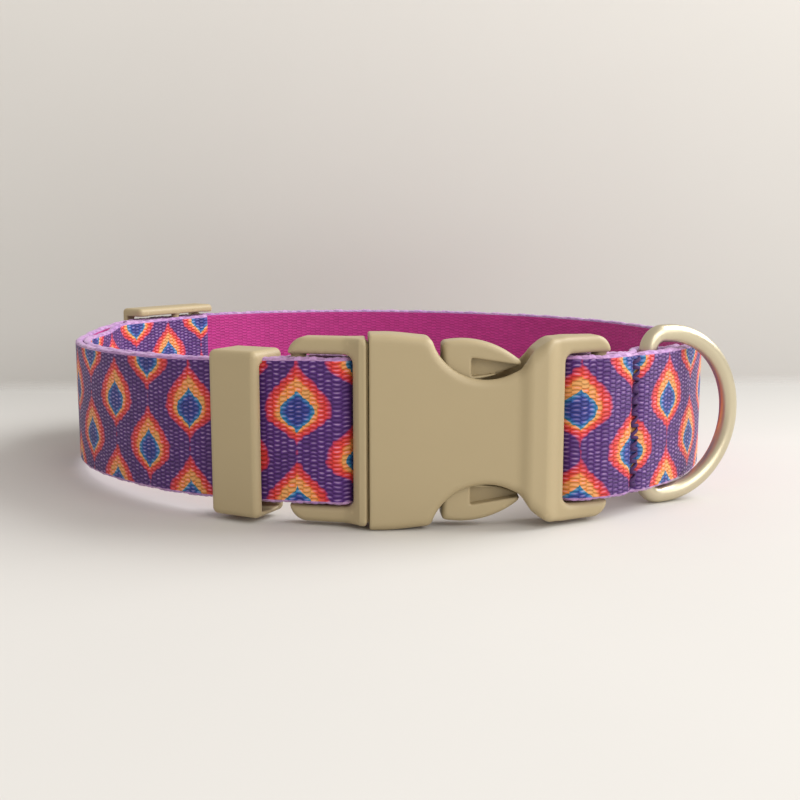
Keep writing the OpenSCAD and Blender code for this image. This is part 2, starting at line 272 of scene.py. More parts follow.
def weave_group():
    """Columns of short floats, each half a row off the next. Place is in millimetres. The oval on
    each float's crest is the mask for the printed side's painted highlight.
    """
    if "webbing_weave" in bpy.data.node_groups:
        return bpy.data.node_groups["webbing_weave"]
    n, given, out = new_group(
        "webbing_weave",
        [("Place", "NodeSocketVector", None), ("Row", "NodeSocketFloat", 0.73),
         ("Float", "NodeSocketFloat", 1.3)],
        [("Height", "NodeSocketFloat"), ("Highlight", "NodeSocketFloat"), ("Tone", "NodeSocketFloat"),
         ("Cell", "NodeSocketVector")])
    row_power, float_power, height_power = 2.2, 4.0, 0.8
    groove_depth = 0.42
    highlight_rows, highlight_floats = 2.2, 1.15
    wander_scale, wander_by, ripple_by = 0.35, 0.7, 0.07
    along, across, _ = n.split(given["Place"])
    wander = n.math("SUBTRACT", n.noise(given["Place"], wander_scale, 1.0), 0.5)
    wander = n.math("MULTIPLY", wander, wander_by)
    float_at = n.math("DIVIDE", along, given["Float"])
    column = n.math("FLOOR", float_at)
    float_part = n.math("FRACT", float_at)
    stagger = n.math("MULTIPLY", n.math("PINGPONG", column, 1.0), 0.5)
    ripple = n.math("SINE", n.math("MULTIPLY", float_at, math.pi))
    ripple = n.math("MULTIPLY", ripple, ripple_by)
    lift = n.math("ADD", across, n.math("ADD", wander, ripple))
    row_at = n.math("ADD", n.math("DIVIDE", lift, given["Row"]), stagger)
    row = n.math("FLOOR", row_at)
    row_part = n.math("FRACT", row_at)
    row_off, float_off = (
        n.math("ABSOLUTE", n.math("SUBTRACT", n.math("MULTIPLY", part, 2.0), 1.0))
        for part in (row_part, float_part))
    row_dome = n.math("SUBTRACT", 1.0, n.math("POWER", row_off, row_power))
    float_dome = n.math("SUBTRACT", 1.0, n.math("POWER", float_off, float_power))
    softened = n.math("ADD", n.math("MULTIPLY", float_dome, groove_depth), 1.0 - groove_depth)
    height = n.math("POWER", n.math("MULTIPLY", row_dome, softened), height_power)
    # an oval on each float's crest: the mask where a highlight is painted
    off_row = n.math("POWER", n.math("MULTIPLY", row_off, highlight_rows), 2.0)
    off_float = n.math("POWER", n.math("MULTIPLY", float_off, highlight_floats), 2.0)
    crest_highlight = n.math("SUBTRACT", 1.0, n.math("ADD", off_row, off_float), clamp=True)
    white = n.new("ShaderNodeTexWhiteNoise", noise_dimensions="2D")
    n.put(n.vector(column, row), white.inputs["Vector"])
    n.put(height, out["Height"])
    n.put(crest_highlight, out["Highlight"])
    n.put(white.outputs["Value"], out["Tone"])
    middle = n.math("SUBTRACT", n.math("ADD", row, 0.5), stagger)
    n.put(n.vector(n.math("MULTIPLY", n.math("ADD", column, 0.5), given["Float"]),
                   n.math("MULTIPLY", middle, given["Row"])), out["Cell"])
    return n.tree


def ogee_group():
    """Staggered columns of pointed ovals. Field runs from 0 in a motif's middle to 1 at its
    outline."""
    if "ogee_print" in bpy.data.node_groups:
        return bpy.data.node_groups["ogee_print"]
    n, given, out = new_group(
        "ogee_print",
        [("Place", "NodeSocketVector", None), ("Period", "NodeSocketFloat", PRINT_PERIOD),
         ("Pitch", "NodeSocketFloat", 16.6)],
        [("Field", "NodeSocketFloat")])
    along, across, _ = n.split(given["Place"])
    # (half width, reach up, reach down, power above, power below) of the outline and of the core
    shapes = ((5.9, 8.9, 6.0, 1.2, 1.05), (3.1, 4.1, 3.9, 1.1, 1.1))
    below = 6.83        # how much of the pitch lies under a motif's middle
    core_gap = 0.06     # least step from the core's edge to the bands round it
    nearest = []
    for half_width, top, bottom, power_up, power_down in shapes:
        fields = []
        for share in (0.0, 0.5):
            turn = n.math("DIVIDE", along, given["Period"])
            turn = n.math("FRACT", n.math("ADD", turn, 0.5 + share))
            x = n.math("ABSOLUTE", n.math("SUBTRACT", turn, 0.5))
            x = n.math("MULTIPLY", x, given["Period"])
            lift = n.math("DIVIDE", n.math("ADD", across, below), given["Pitch"])
            lift = n.math("FRACT", n.math("ADD", lift, share))
            y = n.math("SUBTRACT", n.math("MULTIPLY", lift, given["Pitch"]), below)
            above = n.math("GREATER_THAN", y, 0.0)
            part = n.math("DIVIDE", n.math("ABSOLUTE", y), n.blend(above, bottom, top), clamp=True)
            bent = n.math("POWER", part, n.blend(above, power_down, power_up))
            bell = n.math("COSINE", n.math("MULTIPLY", bent, math.pi))
            rise = n.math("MULTIPLY", n.math("SUBTRACT", 1.0, bell), 0.5)
            fields.append(n.math("ADD", n.math("DIVIDE", x, half_width), rise))
        nearest.append(n.math("MINIMUM", *fields))
    outline, core = nearest
    in_core = n.math("LESS_THAN", core, 1.0)
    around = n.math("MAXIMUM", outline, CORE_SHARE + core_gap)
    n.put(n.blend(in_core, around, n.math("MULTIPLY", core, CORE_SHARE)), out["Field"])
    return n.tree


def grain_group():
    """Fine, even grain of a satin moulding or a brushed finish, with slow variation under it."""
    if "satin_grain" in bpy.data.node_groups:
        return bpy.data.node_groups["satin_grain"]
    n, given, out = new_group(
        "satin_grain",
        [("Scale", "NodeSocketFloat", 1.0)],
        [("Grain", "NodeSocketFloat"), ("Cloud", "NodeSocketFloat")])
    fine, coarse = 5200.0, 90.0
    place = n.new("ShaderNodeVectorMath", operation="SCALE")
    n.put(n.new("ShaderNodeTexCoord").outputs["Object"], place.inputs[0])
    n.put(given["Scale"], place.inputs["Scale"])
    n.put(n.noise(place.outputs[0], fine, 3.0, 0.6), out["Grain"])
    n.put(n.noise(place.outputs[0], coarse, 2.0, 0.5), out["Cloud"])
    return n.tree


def new_material(name, **constants):
    """A material with one Principled shader, whose plain values are set here."""
    material = bpy.data.materials.new(name)
    material.use_nodes = True
    n = Nodes(material.node_tree)
    shader = material.node_tree.nodes["Principled BSDF"]
    for key, value in constants.items():
        shader.inputs[key.replace("_", " ")].default_value = value
    return material, n, shader


def bump(n, shader, height, strength, distance):
    """Raises a surface's shading by a height of 0 to 1; distance is in metres."""
    node = n.new("ShaderNodeBump")
    node.inputs["Strength"].default_value = strength
    node.inputs["Distance"].default_value = distance
    n.put(height, node.inputs["Height"])
    n.put(node.outputs[0], shader.inputs["Normal"])


def strap_place(n):
    """Millimetres along and across the strap."""
    node = n.new("ShaderNodeUVMap")
    node.uv_map = "strap"
    return node.outputs[0]


def webbing_weave(n, place, row, float_length):
    """The weave's outputs and the depth of its grooves, for rows and floats in metres."""
    weave = n.group(weave_group(), Place=place, Row=row / MM, Float=float_length / MM)
    return weave, n.math("SUBTRACT", 1.0, weave["Height"])


def printed_material(sizes, colours, period):
    """Dye-printed side: nested bands round each motif, stepped from thread to thread, with painted
    shade in the weave's grooves and a painted highlight on each float's crest.
    """
    material, n, shader = new_material(
        "printed_webbing", Sheen_Weight=0.1, Sheen_Roughness=0.4, Specular_IOR_Level=0.4)
    step_to_thread, ragged_by, spread = 0.14, 0.07, 0.8
    # painted shade: the grooves between floats are darkened towards a shadow colour
    painted_groove_shade, groove_shadow_colour = 0.40, srgb(30, 10, 44)
    # painted highlight on each float's crest: its pale colour and its least and extra strength
    highlight_colour, highlight_least, highlight_more = srgb(240, 206, 246), 0.10, 0.65
    tone_least, tone_threads, tone_patches, patch_scale = 0.78, 0.22, 0.3, 0.12
    place = strap_place(n)
    weave, groove = webbing_weave(n, place, sizes.weave_row, sizes.weave_float)
    stepped = n.new("ShaderNodeMix", data_type="VECTOR")
    n.put(step_to_thread, stepped.inputs[0])
    n.put(place, stepped.inputs[4])
    n.put(weave["Cell"], stepped.inputs[5])
    field = n.group(ogee_group(), Place=stepped.outputs[1], Period=period,
                    Pitch=sizes.print_pitch / MM)["Field"]
    ragged = n.math("MULTIPLY", n.math("SUBTRACT", weave["Tone"], 0.5), ragged_by)
    field = n.math("MULTIPLY", n.math("ADD", field, ragged), spread)
    bands = [(at, srgb(*shown)) for at, shown in DYES]
    dye = n.ramp(field, [*bands, (GROUND_FROM, tuple(colours.ground))])
    shade = n.math("ADD", n.math("MULTIPLY", weave["Tone"], tone_threads),
                   n.math("MULTIPLY", n.noise(place, patch_scale, 2.0), tone_patches))
    shade = n.math("ADD", shade, tone_least)
    dyed = n.mix(1.0, dye, n.vector(shade, shade, shade), "MULTIPLY")
    # painted shade in the grooves
    groove_shaded = n.mix(n.math("MULTIPLY", groove, painted_groove_shade), dyed, groove_shadow_colour)
    # painted highlight: crests are mixed halfway to a pale colour, more on some threads than others
    lit = n.math("ADD", n.math("MULTIPLY", weave["Tone"], highlight_more), highlight_least)
    lit = n.math("MULTIPLY", weave["Highlight"], lit)
    pale = n.mix(0.5, dyed, highlight_colour)
    n.put(n.mix(lit, groove_shaded, pale), shader.inputs["Base Color"])
    n.put(n.blend(weave["Height"], 0.85, 0.42), shader.inputs["Roughness"])
    bump(n, shader, weave["Height"], 0.8, 0.24 * MM)
    return material


def plain_material(name, colour, pale, row, float_length, depth):
    """One-colour webbing: the unprinted side, and the bound edges, with painted shade in the
    weave's grooves.
    """
    material, n, shader = new_material(
        name, Sheen_Weight=0.35, Sheen_Roughness=0.35, Specular_IOR_Level=0.35)
    # painted shade darkens the grooves between floats
    painted_groove_shade, cloud_scale, cloud_by = 0.32, 0.09, 0.8
    tone_least, tone_threads = 0.92, 0.16
    place = strap_place(n)
    weave, groove = webbing_weave(n, place, row, float_length)
    cloud = n.noise(place, cloud_scale, 3.0)
    base = n.mix(n.math("MULTIPLY", cloud, cloud_by), colour, pale)
    # painted shade in the grooves
    groove_shaded = n.mix(n.math("MULTIPLY", groove, painted_groove_shade), base, scaled(colour, 0.25))
    tone = n.math("ADD", n.math("MULTIPLY", weave["Tone"], tone_threads), tone_least)
    n.put(n.mix(1.0, groove_shaded, n.vector(tone, tone, tone), "MULTIPLY"), shader.inputs["Base Color"])
    n.put(n.blend(weave["Height"], 0.85, 0.55), shader.inputs["Roughness"])
    bump(n, shader, weave["Height"], 0.6, depth)
    return material


def plastic_material(colours):
    """Satin moulding with fine grain, and a painted highlight that makes sharp convex edges paler.
    """
    material, n, shader = new_material("satin_plastic", IOR=1.49, Specular_IOR_Level=0.45)
    edge_from, edge_gain, edge_highlight = 0.515, 6.0, 0.35
    grain = n.group(grain_group(), Scale=1.0)
    colour = tuple(colours.plastic)
    base = n.mix(n.math("MULTIPLY", grain["Cloud"], 0.30), colour, scaled(colour, 1.14))
    # painted highlight: convex edges, found by pointiness, are mixed towards a paler colour
    edge = n.new("ShaderNodeNewGeometry").outputs["Pointiness"]
    edge_lit = n.math("MULTIPLY", n.math("SUBTRACT", edge, edge_from), edge_gain, clamp=True)
    edge_lit = n.math("MULTIPLY", edge_lit, edge_highlight)
    n.put(n.mix(edge_lit, base, scaled(colour, 1.35)), shader.inputs["Base Color"])
    n.put(n.blend(grain["Grain"], 0.40, 0.56), shader.inputs["Roughness"])
    bump(n, shader, grain["Grain"], 0.10, 0.06 * MM)
    return material


def metal_material(colours):
    """Pale gold metal with a soft satin finish."""
    material, n, shader = new_material("satin_metal", Metallic=0.85, Specular_IOR_Level=0.5)
    grain = n.group(grain_group(), Scale=0.7)
    colour = tuple(colours.metal)
    n.put(n.mix(grain["Cloud"], scaled(colour, 0.92), colour), shader.inputs["Base Color"])
    n.put(n.blend(grain["Grain"], 0.30, 0.42), shader.inputs["Roughness"])
    bump(n, shader, grain["Grain"], 0.06, 0.05 * MM)
    return material


def thread_material(colours):
    """Twisted sewing thread."""
    material, n, shader = new_material("thread", Sheen_Weight=0.3, Specular_IOR_Level=0.4)
    wave = n.new("ShaderNodeTexWave", bands_direction="DIAGONAL")
    n.put(n.new("ShaderNodeTexCoord").outputs["Object"], wave.inputs["Vector"])
    wave.inputs["Scale"].default_value = 900.0
    wave.inputs["Distortion"].default_value = 1.5
    twist = wave.outputs[1]
    colour = tuple(colours.thread)
    n.put(n.mix(twist, scaled(colour, 0.6), scaled(colour, 1.8)), shader.inputs["Base Color"])
    n.put(n.blend(twist, 0.8, 0.5), shader.inputs["Roughness"])
    bump(n, shader, twist, 0.5, 0.08 * MM)
    return material


def shared_material(name, maker):
    """The material of this name, made once."""
    return bpy.data.materials.get(name) or maker()


# ---------------------------------------------------------------- mesh helpers

def add_object(name, data):
    """A new object in the scene with this mesh, lamp or camera."""
    piece = bpy.data.objects.new(name, data)
    bpy.context.scene.collection.objects.link(piece)
    return piece


def add_mesh(name, points, faces, materials, face_materials=None):
    """A smooth mesh object from points in millimetres, in the buckle's frame."""
    mesh = bpy.data.meshes.new(name)
    placed = (np.asarray(points) + SHIFT) * MM
    mesh.from_pydata(placed.tolist(), [], faces if isinstance(faces, list) else faces.tolist())
    for material in materials:
        mesh.materials.append(material)
    if face_materials is not None:
        mesh.polygons.foreach_set("material_index", np.asarray(face_materials, np.int32))
    mesh.polygons.foreach_set("use_smooth", np.ones(len(mesh.polygons), bool))
    mesh.update()
    return add_object(name, mesh)


def tube_faces(rows, sides, closed=False):
    """Quads of a tube whose points are listed ring by ring; closed joins the last to the first."""
    i, j = np.meshgrid(np.arange(rows if closed else rows - 1), np.arange(sides), indexing="ij")
    k, m = (i + 1) % rows, (j + 1) % sides
    corners = [i * sides + j, k * sides + j, k * sides + m, i * sides + m]
    return np.stack(corners, -1).reshape(-1, 4)


def surface(distance, low, high, step):
    """Points and quads where a distance function of points is zero: one point in each grid cell
    that the surface crosses, moved onto it, and one quad round each grid edge that it cuts."""
    axes = [np.arange(a - 1.5 * step, b + 2.5 * step, step) for a, b in zip(low, high)]
    inside = distance(np.stack(np.meshgrid(*axes, indexing="ij"), -1)) < 0
    count = np.zeros([k - 1 for k in inside.shape], int)
    for corner in np.ndindex(2, 2, 2):
        count += inside[tuple(slice(c, k - 1 + c) for c, k in zip(corner, inside.shape))]
    mixed = (count > 0) & (count < 8)
    number = np.full(count.shape, -1)
    number[mixed] = np.arange(mixed.sum())
    cells = np.argwhere(mixed)
    centre = np.stack([axes[k][cells[:, k]] + step / 2 for k in range(3)], 1)
    points = centre.copy()
    probe, tries, farthest = step * 0.02, 7, 0.75 * step
    for _ in range(tries):
        value = distance(points)
        slope = np.stack([
            (distance(points + probe * axis) - distance(points - probe * axis)) / (2 * probe)
            for axis in np.eye(3)], 1)
        steepness = np.maximum((slope ** 2).sum(1), 0.2)
        points -= (value / steepness)[:, None] * slope
        points = centre + np.clip(points - centre, -farthest, farthest)
    quads = []
    for axis in range(3):
        one, two = (axis + 1) % 3, (axis + 2) % 3
        start = [slice(None)] * 3
        end = [slice(None)] * 3
        start[axis], end[axis] = slice(0, -1), slice(1, None)
        for k in (one, two):
            start[k] = end[k] = slice(1, -1)
        here, there = inside[tuple(start)], inside[tuple(end)]
        for solid_first in (True, False):
            at = np.argwhere((here != there) & (here == solid_first))
            at[:, one] += 1
            at[:, two] += 1
            ring = []
            for a, b in ((-1, -1), (0, -1), (0, 0), (-1, 0)):
                cell = at.copy()
                cell[:, one] += a
                cell[:, two] += b
                ring.append(number[tuple(cell.T)])
            quad = np.stack(ring, 1)
            quads.append(quad if solid_first else quad[:, ::-1])
    return points, np.concatenate(quads)


def soft_min(a, b, k):
    """Joins two distances with a fillet of about size k."""
    h = np.clip(0.5 + 0.5 * (b - a) / k, 0, 1)
    return b + (a - b) * h - k * h * (1 - h)


def soft_max(a, b, k):
    """What two distances share, with its edge rounded by about k."""
    return -soft_min(-a, -b, k)


def rounded_rect(x, z, x0, x1, half, r):
    """Distance to a rectangle from x0 to x1 and half each way in z, with corners of radius r."""
    dx = np.abs(x - (x0 + x1) / 2) - ((x1 - x0) / 2 - r)
    dz = np.abs(z) - (half - r)
    outside = np.hypot(np.maximum(dx, 0), np.maximum(dz, 0))
    return outside + np.minimum(np.maximum(dx, dz), 0) - r


def thick(outline, offset, half, r):
    """Gives an outline's distance a thickness of twice half, its edges rounded to radius r."""
    a, b = outline + r, np.abs(offset) - half + r
    return np.hypot(np.maximum(a, 0), np.maximum(b, 0)) + np.minimum(np.maximum(a, b), 0) - r


def unit(angle):
    """The direction at an angle in degrees."""
    a = math.radians(angle)
    return np.array([math.cos(a), math.sin(a)])


def turned(p, pivot, angle):
    """Coordinates along and across a direction in plan, from a pivot."""
    c, s = unit(angle)
    x, y = p[..., 0] - pivot[0], p[..., 1] - pivot[1]
    return x * c + y * s, -x * s + y * c


def body_frame(p):
    """Coordinates from the seam, from the middle of the body's thickness, and up."""
    return p[..., 0], p[..., 1] - MID_Y, p[..., 2]


def end_frame(p, pivot, angle, slot_from, corner, inner, extra, reach):
    """Distance to a slotted end frame that leaves its pivot in this direction; extra is how much
    deeper each face is at the pivot, fading out over reach."""
    root, lip, past_end = -4.0, 0.2, 30.0
    face, edge_r, bar_fillet = 2.3, 1.1, 0.5
    along, across = turned(p, pivot, angle)
    z = p[..., 2]
    outline = rounded_rect(along, z, root, FRAME_REACH + BAR_R + lip, FRAME_HALF, corner)
    slot = rounded_rect(along, z, slot_from, past_end, SLOT_HALF, inner)
    deeper = extra * np.clip(1 - (along + 0.6) / reach, 0, 1) ** 1.6
    plate = thick(soft_max(outline, -slot, 0.4), across, face + deeper, edge_r)
    bar = np.maximum(np.hypot(along - FRAME_REACH, across) - BAR_R, np.abs(z) - SLOT_HALF - 1)
    return soft_min(plate, bar, bar_fillet)


# ---------------------------------------------------------------- buckle

def socket_distance(p):
    """A waisted body with a thumb notch at top and bottom, its slotted end and its cavity."""
    x, y, z = body_frame(p)
    waist_from, waist_length, waist = 2.5, 9.2, 0.7
    body_end, edge_r = 30.6, 1.5
    taper = np.clip((x - waist_from) / waist_length, 0, 1)
    half = MOUTH_HALF - waist * taper * taper * (3 - 2 * taper)
    outline = np.maximum(np.abs(z) - half, x - body_end)
    notch = NOTCH_R - np.hypot(x - NOTCH_X, np.abs(z) - NOTCH_Z)
    body = thick(soft_max(outline, notch, 0.9), y, BODY_T / 2, edge_r)
    ends = end_frame(p, SOCKET_PIVOT, SOCKET_TILT, SOCKET_SLOT, 2.9, 1.5, 2.0, 12.0)
    shell = soft_min(body, ends, 1.6)
    # slanting shoulders take off the points between the notches and the slotted end
    shoulder_x, shoulder_z, slant = 25.5, 12.1, 0.86
    shoulder = (shoulder_z - np.abs(z) + slant * (x - shoulder_x)) / 1.32
    shoulder = soft_max(shoulder, 26.0 - x, 1.0)
    shell = soft_max(soft_max(shell, -shoulder, 2.4), -x, 0.35)
    cavity = thick(rounded_rect(x, z, -6.0, 27.5, 14.7, 1.0), y, 3.0, 0.8)
    return soft_max(shell, -cavity, 0.3)


def plug_distance(p):
    """The slotted end, the plate behind the seam, the guide tongue and the prongs' roots."""
    x, y, z = body_frame(p)
    ends = end_frame(p, PLUG_PIVOT, 180 - PLUG_TILT, PLUG_SLOT, 3.2, 1.5, 1.6, 3.4)
    ends = soft_max(ends, x + 0.45, 0.5)
    seam_plate = thick(rounded_rect(x, z, -1.6, -0.07, 15.1, 0.2), y, 3.4, 0.2)
    tongue = thick(rounded_rect(x, z, -1.2, 20.9, 2.4, 0.8), y, 1.6, 0.5)
    roots = thick(rounded_rect(x, np.abs(z) - PRONG_ROOT_Z, -1.0, 0.6, 2.4, 0.5), y, 2.4, 0.5)
    return soft_min(soft_min(np.minimum(ends, seam_plate), tongue, 0.4), roots, 0.4)


def prong_distance(p):
    """The upper prong: spring arm and leaf-shaped finger pad with a scooped window."""
    x, y, z = body_frame(p)
    leaf_x, leaf_z, leaf_r = 15.6, 0.1, 15.3
    pad_from, pad_to, pad_half, web_half = 12.2, 25.5, 2.65, 0.7
    arm = rounded_rect(x, z - PRONG_ROOT_Z, 0.1, 14.0, 1.2, 1.1)
    leaf = soft_max(np.hypot(x - leaf_x, z - leaf_z) - leaf_r, pad_from - x, 0.8)
    leaf = soft_max(leaf, 0.32 * (x - 12.0) + 6.6 - z, 0.6)
    leaf = soft_max(leaf, x - pad_to, 0.5)
    window = soft_max(17.0 - x, z - 12.35 + 0.16 * (x - 18.0), 0.5)
    window = soft_max(window, 9.3 - z + 0.1 * (x - 17.0), 0.5)
    scoop = np.maximum(window, web_half - np.abs(y))
    pad = soft_max(thick(leaf, y, pad_half, 1.0), -scoop, 0.35)
    return soft_min(thick(arm, y, 2.2, 0.7), pad, 0.8)


def mirrored(points, faces):
    """The same piece turned upside down."""
    return points * [1, 1, -1], faces[:, ::-1]


# ---------------------------------------------------------------- keeper, slider, D-ring

def local_frame(p, centre, angle, radius):
    """Coordinates outwards from a circle, along it, and up from the floor."""
    out, along = turned(p, centre, angle)
    return out - radius, along, p[..., 2] + MID_Z


def rounded_box(a, b, c, low, high, r):
    """Distance to a box between two corners, with edges of radius r."""
    parts = [np.abs(v - (l + h) / 2) - (h - l) / 2 + r for v, l, h in zip((a, b, c), low, high)]
    outside = np.sqrt(sum(np.maximum(q, 0) ** 2 for q in parts))
    return outside + np.minimum(np.maximum(np.maximum(parts[0], parts[1]), parts[2]), 0) - r


def keeper_distance(p):
    """A flat loop round both layers of the flank."""
    place = local_frame(p, FLANK_C, KEEPER_A, FLANK_R)
    outer = rounded_box(*place, (-6.65, -4.9, 1.0), (2.15, 4.9, 29.8), 1.15)
    inner = rounded_box(*place, (-4.85, -9.0, 1.95), (0.45, 9.0, 27.6), 0.6)
    return soft_max(outer, -inner, 0.5)


def slider_distance(p):
    """A frame in front of the strap with a round bar behind it, which the strap's end goes over."""
    place = out, along, up = local_frame(p, LEFT_C, SLIDER_A, LEFT_R)
    low, high, clear, bar_in, bar_r = 1.9, 29.1, 20.0, 4.35, 0.9
    outer = rounded_box(*place, (-5.45, -12.25, 0.0), (1.3, 12.25, 31.0), 1.0)
    window = rounded_box(*place, (-clear, -9.65, low), (clear, 9.65, high), 0.8)
    passage = rounded_box(*place, (-clear, -30.0, low), (-0.42, 30.0, high), 0.5)
    frame_part = soft_max(soft_max(outer, -window, 0.4), -passage, 0.4)
    bar = np.maximum(np.hypot(out + bar_in, along) - bar_r, np.abs(up - 15.5) - 14.5)
    return soft_min(frame_part, bar, 0.5)


def wire_ring(points, outward, across, radius, sides):
    """Tube round a closed path of points; outward and across are directions of its section."""
    a = np.arange(sides) / sides * 2 * math.pi
    ring = points[:, None] + radius * (np.cos(a)[None, :, None] * outward[:, None]
                                       + np.sin(a)[None, :, None] * across)
    return ring.reshape(-1, 3), tube_faces(len(points), sides, closed=True)


def d_ring_path():
    """The D-ring's middle line, its outward directions and the direction across it."""
    rise, corner, leg = RING_HALF - WIRE_R, 3.2, 1.2
    bow, edge = corner + leg, rise - corner

    def bend(x, z, r, a0, a1, count):
        """Part of a circle about x, z, as (x, z, outward x, outward z)."""
        return [(x + r * c, z + r * s, c, s) for c, s in map(unit, np.linspace(a0, a1, count))]

    def straight(x0, z0, x1, z1, outward, first, count):
        """Points from first to 1 - first of the way between two corners."""
        return [(x0 + (x1 - x0) * t, z0 + (z1 - z0) * t, *outward)
                for t in np.linspace(first, 1 - first, count)]

    flat = np.array([
        *bend(bow, 0, rise, -90, 90, 90),
        *straight(bow, rise, corner, rise, (0, 1), 0.25, 2),
        *bend(corner, edge, corner, 90, 180, 18),
        *straight(0, edge, 0, -edge, (-1, 0), 0.06, 24),
        *bend(corner, -edge, corner, 180, 270, 18),
        *straight(corner, -rise, bow, -rise, (0, -1), 0.25, 2)])
    along, across = (np.array([*unit(a), 0]) for a in (RING_A, RING_A - 90))
    up = np.array([0, 0, 1])
    points = np.array([*RING_BAR, 0]) + flat[:, :1] * along + flat[:, 1:2] * up
    return points, flat[:, 2:3] * along + flat[:, 3:4] * up, across


# ---------------------------------------------------------------- webbing

def arc(centre, r, a0, a1):
    """Points 0.25 mm apart round part of a circle in plan."""
    n = max(3, int(abs(math.radians(a1 - a0)) * r / 0.25))
    a = np.radians(np.linspace(a0, a1, n))
    return np.asarray(centre) + r * np.stack([np.cos(a), np.sin(a)], 1)


def right_a(s):
    """Angle on the right arc at this length from where the strap leaves the socket."""
    return SOCKET_LEAVE_A - 360 + math.degrees(s / RIGHT_R)


def lengths(line):
    """Length along a line of points at each of them."""
    return np.concatenate([[0], np.cumsum(np.linalg.norm(np.diff(line, axis=0), axis=1))])


def smoothing(reach, step):
    """Weights that average over reach either way, and their number either way."""
    n = max(1, int(reach / step))
    kernel = np.hanning(2 * n + 3)[1:-1]
    return kernel / kernel.sum(), n


def smooth_line(line, reach, step):
    """Evens out a line of points: respaced by step, then averaged over reach either way."""
    length = lengths(line)
    at = np.arange(0, length[-1], step)
    even = np.stack([np.interp(at, length, column) for column in line.T], 1)
    kernel, n = smoothing(reach, step)
    pad = np.concatenate([2 * even[0] - even[n:0:-1], even, 2 * even[-1] - even[-2:-n - 2:-1]])
    return np.stack([np.convolve(column, kernel, "valid") for column in pad.T], 1)


def strap_line():
    """The whole strap's middle line from the end at the D-ring to the end sewn at the slider.
    Returns points in plan, heights, lengths along it, and the lengths at named places."""
    middle = WEB_T / 2
    right, back, left, flank = (r - middle for r in (RIGHT_R, BACK_R, LEFT_R, FLANK_R))
    under_right, under_flank = (r - 1.5 * WEB_T - LAYER_GAP for r in (RIGHT_R, FLANK_R))
    turn = BAR_R + 0.15 + middle
    into = right_a(RING_BAR_S) + 180
    socket_front, plug_front = 270 + SOCKET_TILT, 270 - PLUG_TILT
    socket_turn = SOCKET_BAR - (FRAME_REACH - SOCKET_SLOT - TURN_ROOM) * unit(SOCKET_TILT)
    plug_turn = PLUG_BAR + (FRAME_REACH - PLUG_SLOT - TURN_ROOM) * unit(-PLUG_TILT)
    near, ring_end = PLUG_LEAVE_A - 17, right_a(TAIL_S + 4)
    fold_a, over_bar, sewn, fold_r = SLIDER_A - 8, 49.9, 53.4, 1.75
    slider_fold = LEFT_C + (over_bar + fold_r) * unit(fold_a)
    low, mid, slide = -1.8, 0.0, -0.6
    # (name of the place where it starts, points, height at its start and end)
    parts = [
        ("tail", arc(RIGHT_C, under_right, right_a(TAIL_S), right_a(TACK_2_S - 1.5)), -0.3, -0.2),
        ("pocket", arc(RING_BAR, 2.65, into - 24, into + 24), -0.2, -0.2),
        ("tack_1_in", arc(RIGHT_C, under_right, right_a(TACK_1_S + 1.5), right_a(5)), mid, mid),
        ("socket_back", arc(SOCKET_BAR, turn, socket_front - 190, socket_front - 180), mid, mid),
        ("socket_turn", arc(socket_turn, turn, socket_front - 180, socket_front), mid, mid),
        ("socket_front", arc(SOCKET_BAR, turn, socket_front, SOCKET_LEAVE_A), mid, mid),
        ("socket_leave", arc(RIGHT_C, right, -59, ring_end), mid, -0.4),
        ("right", arc(RIGHT_C, right, ring_end, RIGHT_END_A), -0.4, low + 0.5),
        ("back", arc(BACK_C, back, RIGHT_END_A, BACK_END_A), low + 0.5, slide),
        ("left", arc(LEFT_C, left, BACK_END_A, SLIDER_A + 15), slide, slide),
        ("left_end", arc(LEFT_C, left, SLIDER_A + 15, 180), slide, low - 0.3),
        ("bend", arc(LEFT_C, left, 180, FLANK_END_A), low - 0.3, low),
        ("flank", arc(FLANK_C, flank, FLANK_END_A, near), low, low + 0.5),
        ("near_plug", arc(FLANK_C, flank, near, PLUG_LEAVE_A), low + 0.5, -0.1),
        ("plug_leave", arc(PLUG_BAR, turn, PLUG_LEAVE_A, plug_front), mid, mid),
        ("plug_turn", arc(plug_turn, turn, plug_front, plug_front + 180), mid, mid),
        ("plug_back", arc(PLUG_BAR, turn, plug_front + 180, plug_front + 190), mid, mid),
        ("inner_near", arc(FLANK_C, under_flank, PLUG_LEAVE_A - 4, near), -0.8, low + 0.5),
        ("inner_flank", arc(FLANK_C, under_flank, near, FLANK_END_A), low + 0.5, low),
        ("inner_bend", arc(LEFT_C, LEFT_R - 2.35, FLANK_END_A, 184), low, low - 0.3),
        ("inner_left", arc(LEFT_C, LEFT_R - 3.6, 172, 164), low - 0.2, slide),
        ("over_bar", arc(LEFT_C, over_bar, SLIDER_A + 8, fold_a), slide, slide),
        ("slider_turn", arc(slider_fold, fold_r, fold_a - 180, fold_a), slide, slide),
        ("sewn", arc(LEFT_C, sewn, fold_a, SLIDER_A + 18.5), slide, slide),
    ]
    line = np.concatenate([np.column_stack([points, np.linspace(start, end, len(points))])
                           for _, points, start, end in parts])
    length = lengths(line[:, :2])
    places, at = {}, 0
    for name, points, _, _ in parts:
        places[name] = float(length[at])
        at += len(points)
    step = 0.1
    plan = smooth_line(line[:, :2], 0.5, step)
    s = np.arange(len(plan)) * step
    kernel, n = smoothing(5, step)
    heights = np.pad(np.interp(s, length, line[:, 2]), n, "edge")
    places["end"] = float(s[-1])
    return plan, np.convolve(heights, kernel, "valid"), s, places


